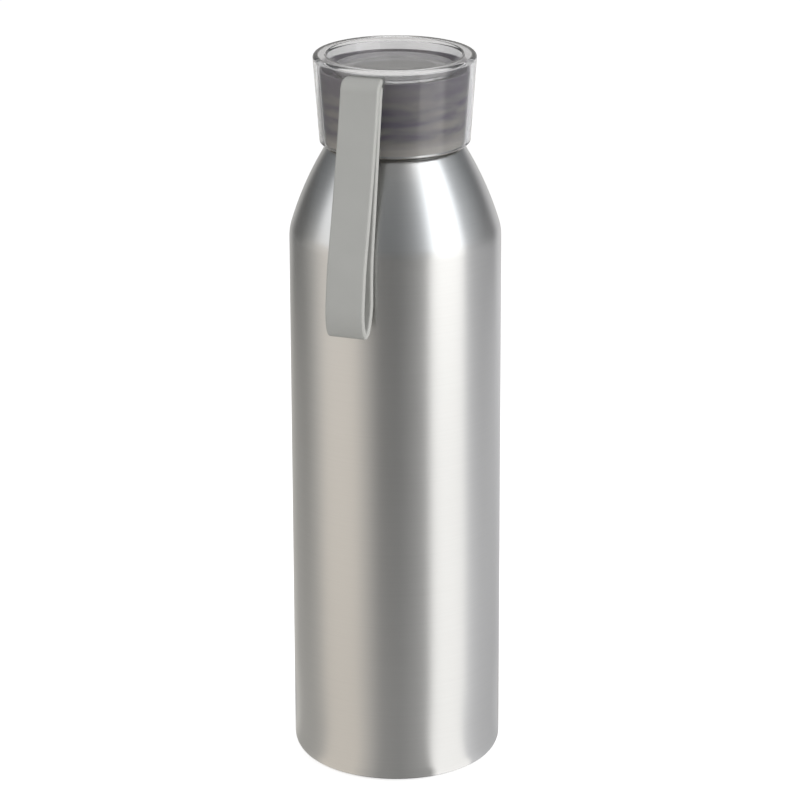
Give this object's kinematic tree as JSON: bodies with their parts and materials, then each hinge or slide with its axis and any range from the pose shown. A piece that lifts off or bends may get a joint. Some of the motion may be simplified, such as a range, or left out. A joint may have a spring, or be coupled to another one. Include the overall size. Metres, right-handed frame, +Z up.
{
  "type": "aluminium water bottle",
  "caption": "Slim aluminium water bottle with a sloping shoulder, a clear screw lid with a smoky insert, and a flat silicone carrying loop.",
  "frame": {"origin": "centre of the flat base, on the surface that the bottle stands on", "axes": "+Z up along the bottle's axis, -Y towards the carrying loop, +X to the right when the loop faces the viewer"},
  "size_m": [0.0652, 0.0758, 0.2271],
  "materials": {
    "aluminium": "fine brushed, satin, bare",
    "clear_plastic": "clear, polished, moulded",
    "smoky_plastic": "smoky grey, glossy, moulded",
    "seal_silicone": "matt silicone",
    "strap_silicone": "matt warm grey silicone"
  },
  "bodies": {
    "bottle": {"bottle_body": "aluminium"},
    "lid_carrier": {"seal_ring": "seal_silicone"},
    "lid": {"lid_cover": "clear_plastic", "lid_insert": "smoky_plastic", "strap_anchor": "strap_silicone"},
    "strap": {"strap_loop": "strap_silicone"}
  },
  "joints": [
    {"name": "lid_lift", "type": "slide", "parent": "bottle", "child": "lid_carrier", "axis": [0, 0, 1], "range_m": [0, 0.01101]},
    {"name": "lid_turn", "type": "hinge", "parent": "lid_carrier", "child": "lid", "pos_m": [0, 0, 0.2], "axis": [0, 0, 1], "range_deg": [0, 990]},
    {"name": "strap_swing", "type": "hinge", "parent": "lid", "child": "strap", "pos_m": [0, -0.02742, 0.22295], "axis": [-1, 0, 0], "range_deg": [0, 160]}
  ],
  "couplings": [
    {"joint": "lid_lift", "follows": "lid_turn", "m_per_rad": 0.00063662}
  ]
}
